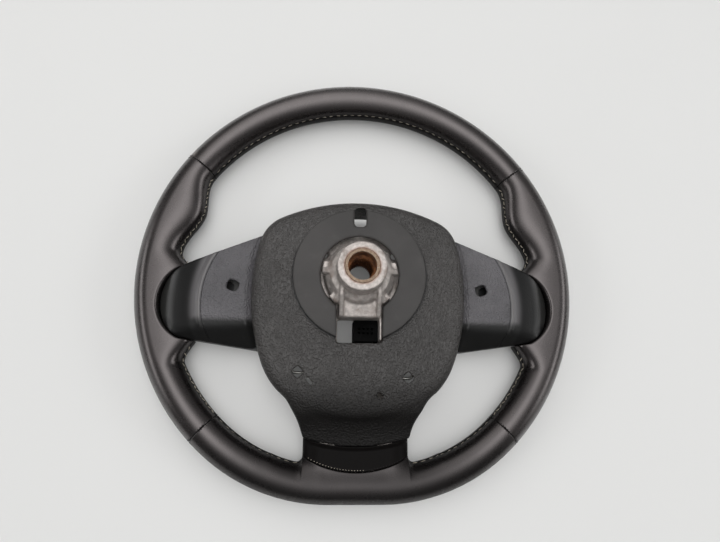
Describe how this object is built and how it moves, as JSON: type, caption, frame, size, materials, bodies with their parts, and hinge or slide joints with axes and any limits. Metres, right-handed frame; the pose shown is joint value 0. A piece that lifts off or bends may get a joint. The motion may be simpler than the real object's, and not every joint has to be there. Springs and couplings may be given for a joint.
{
  "type": "steering wheel",
  "caption": "Flat-bottomed leather car steering wheel with grained rear cover, cast hub with a round bore, side spokes with thumb switches and a lower spoke; airbag module absent.",
  "frame": {"origin": "centre of the mouth of the hub bore, on the rear face of the hub", "axes": "+Z along the hub axis towards the steering column, so the rear side is up and the wheel lies on the front of its rim; +Y towards twelve o'clock; +X to the right as the rear side is seen"},
  "size_m": [0.37, 0.362, 0.08],
  "materials": {
    "cast_alloy": "as cast, dirty",
    "bush_steel": "rusty round the mouth",
    "foam": "moulded foam",
    "leather": "worn satin",
    "cover_plastic": "pebble grain",
    "bezel_plastic": "satin",
    "switch_plastic": "moulded",
    "board": "lacquered",
    "key_plastic": "satin",
    "connector_plastic": "moulded",
    "sleeve": "matte",
    "steel": "zinc plated"
  },
  "bodies": {
    "wheel": {"armature": "cast_alloy", "hub_bush": "bush_steel", "rim_foam": "foam", "leather_top": "leather", "leather_left_grip": "leather", "leather_right_grip": "leather", "leather_bottom": "leather", "leather_spoke_tab": "leather", "rear_cover": "cover_plastic", "lower_spoke_bezel": "bezel_plastic", "left_spoke_cover": "cover_plastic", "right_spoke_cover": "cover_plastic", "left_spoke_bezel": "bezel_plastic", "right_spoke_bezel": "bezel_plastic", "left_switch_body": "switch_plastic", "right_switch_body": "switch_plastic", "left_switch_board": "board", "right_switch_board": "board", "left_rocker_pin": "steel", "right_rocker_pin": "steel", "harness_connector": "connector_plastic", "left_harness": "sleeve", "right_harness": "sleeve", "left_airbag_spring": "steel", "right_airbag_spring": "steel", "cover_screws": "steel", "bezel_screws": "steel", "left_spoke_arm": "cast_alloy", "right_spoke_arm": "cast_alloy", "lower_arms": "cast_alloy", "rim_core": "cast_alloy"},
    "left_rocker": {"left_rocker": "key_plastic"},
    "right_rocker": {"right_rocker": "key_plastic"},
    "left_button": {"left_button": "key_plastic"},
    "right_button": {"right_button": "key_plastic"}
  },
  "joints": [
    {"name": "left_rocker_hinge", "type": "hinge", "parent": "wheel", "child": "left_rocker", "pos_m": [-0.1239, -0.015, -0.0683], "axis": [1, 0, 0], "range_deg": [-4, 4], "stiffness_Nm_per_rad": 0.1},
    {"name": "right_rocker_hinge", "type": "hinge", "parent": "wheel", "child": "right_rocker", "pos_m": [0.1239, -0.015, -0.0683], "axis": [1, 0, 0], "range_deg": [-4, 4], "stiffness_Nm_per_rad": 0.1},
    {"name": "left_button_press", "type": "slide", "parent": "wheel", "child": "left_button", "axis": [0, 0, 1], "range_m": [0, 0.0009], "stiffness_N_per_m": 1000},
    {"name": "right_button_press", "type": "slide", "parent": "wheel", "child": "right_button", "axis": [0, 0, 1], "range_m": [0, 0.0009], "stiffness_N_per_m": 1000}
  ]
}
